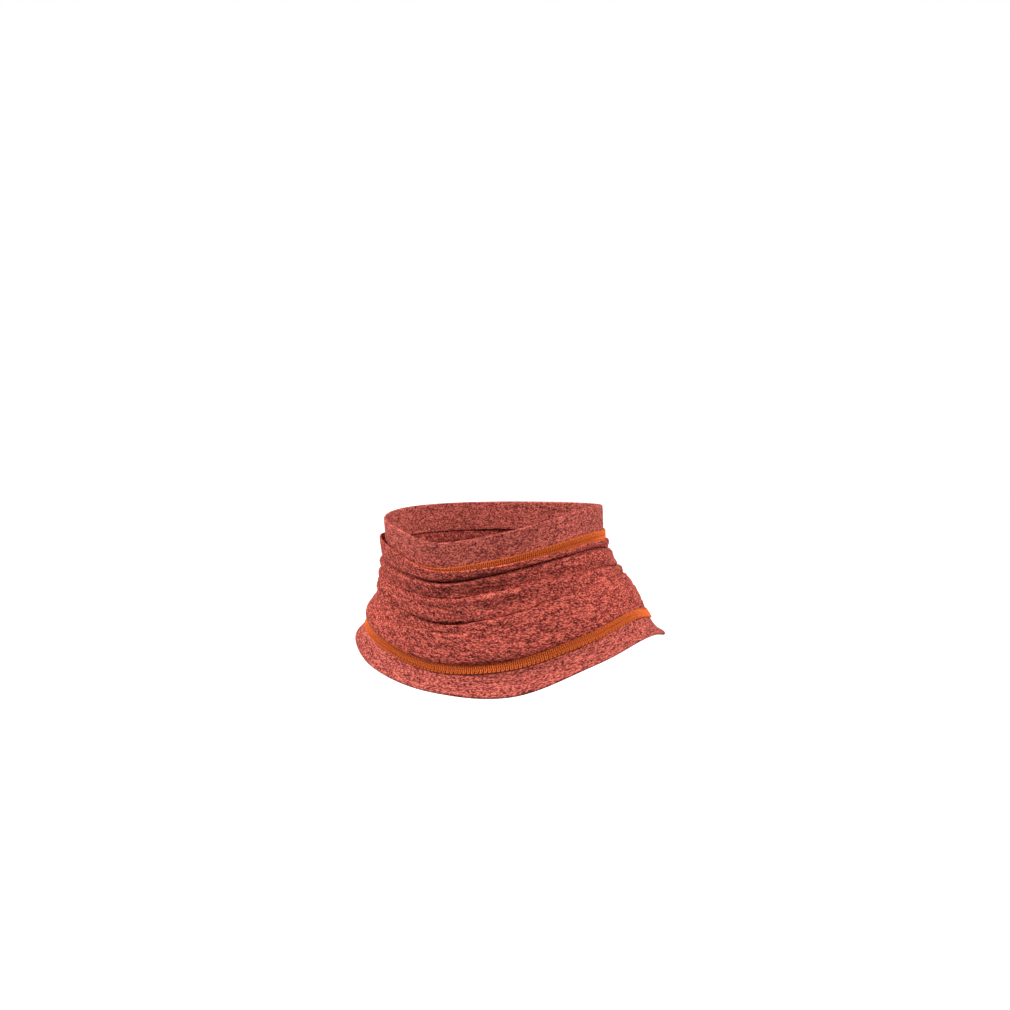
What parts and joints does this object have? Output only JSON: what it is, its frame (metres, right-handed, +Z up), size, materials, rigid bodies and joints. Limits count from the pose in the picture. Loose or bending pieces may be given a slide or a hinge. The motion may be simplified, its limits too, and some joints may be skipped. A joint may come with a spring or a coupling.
{
  "type": "cooling neck gaiter",
  "caption": "Short neck gaiter of heathered coral knit, pushed down into soft folds, with a turned hem at each end joined by a flat orange coverstitched band.",
  "frame": {"origin": "on the neck's axis at the height where the gaiter sits on the shoulders", "axes": "+Z up along the neck, -Y to the wearer's front, +X to the wearer's left"},
  "size_m": [0.1778, 0.1626, 0.1009],
  "materials": {
    "knit": "matt heathered knit",
    "hem_knit": "matt heathered knit, two layers",
    "stitch_thread": "soft polyester thread"
  },
  "bodies": {
    "root": {"knit_tube": "knit", "top_hem": "hem_knit", "bottom_hem": "hem_knit", "top_stitch_band": "stitch_thread", "bottom_stitch_band": "stitch_thread"}
  },
  "joints": []
}
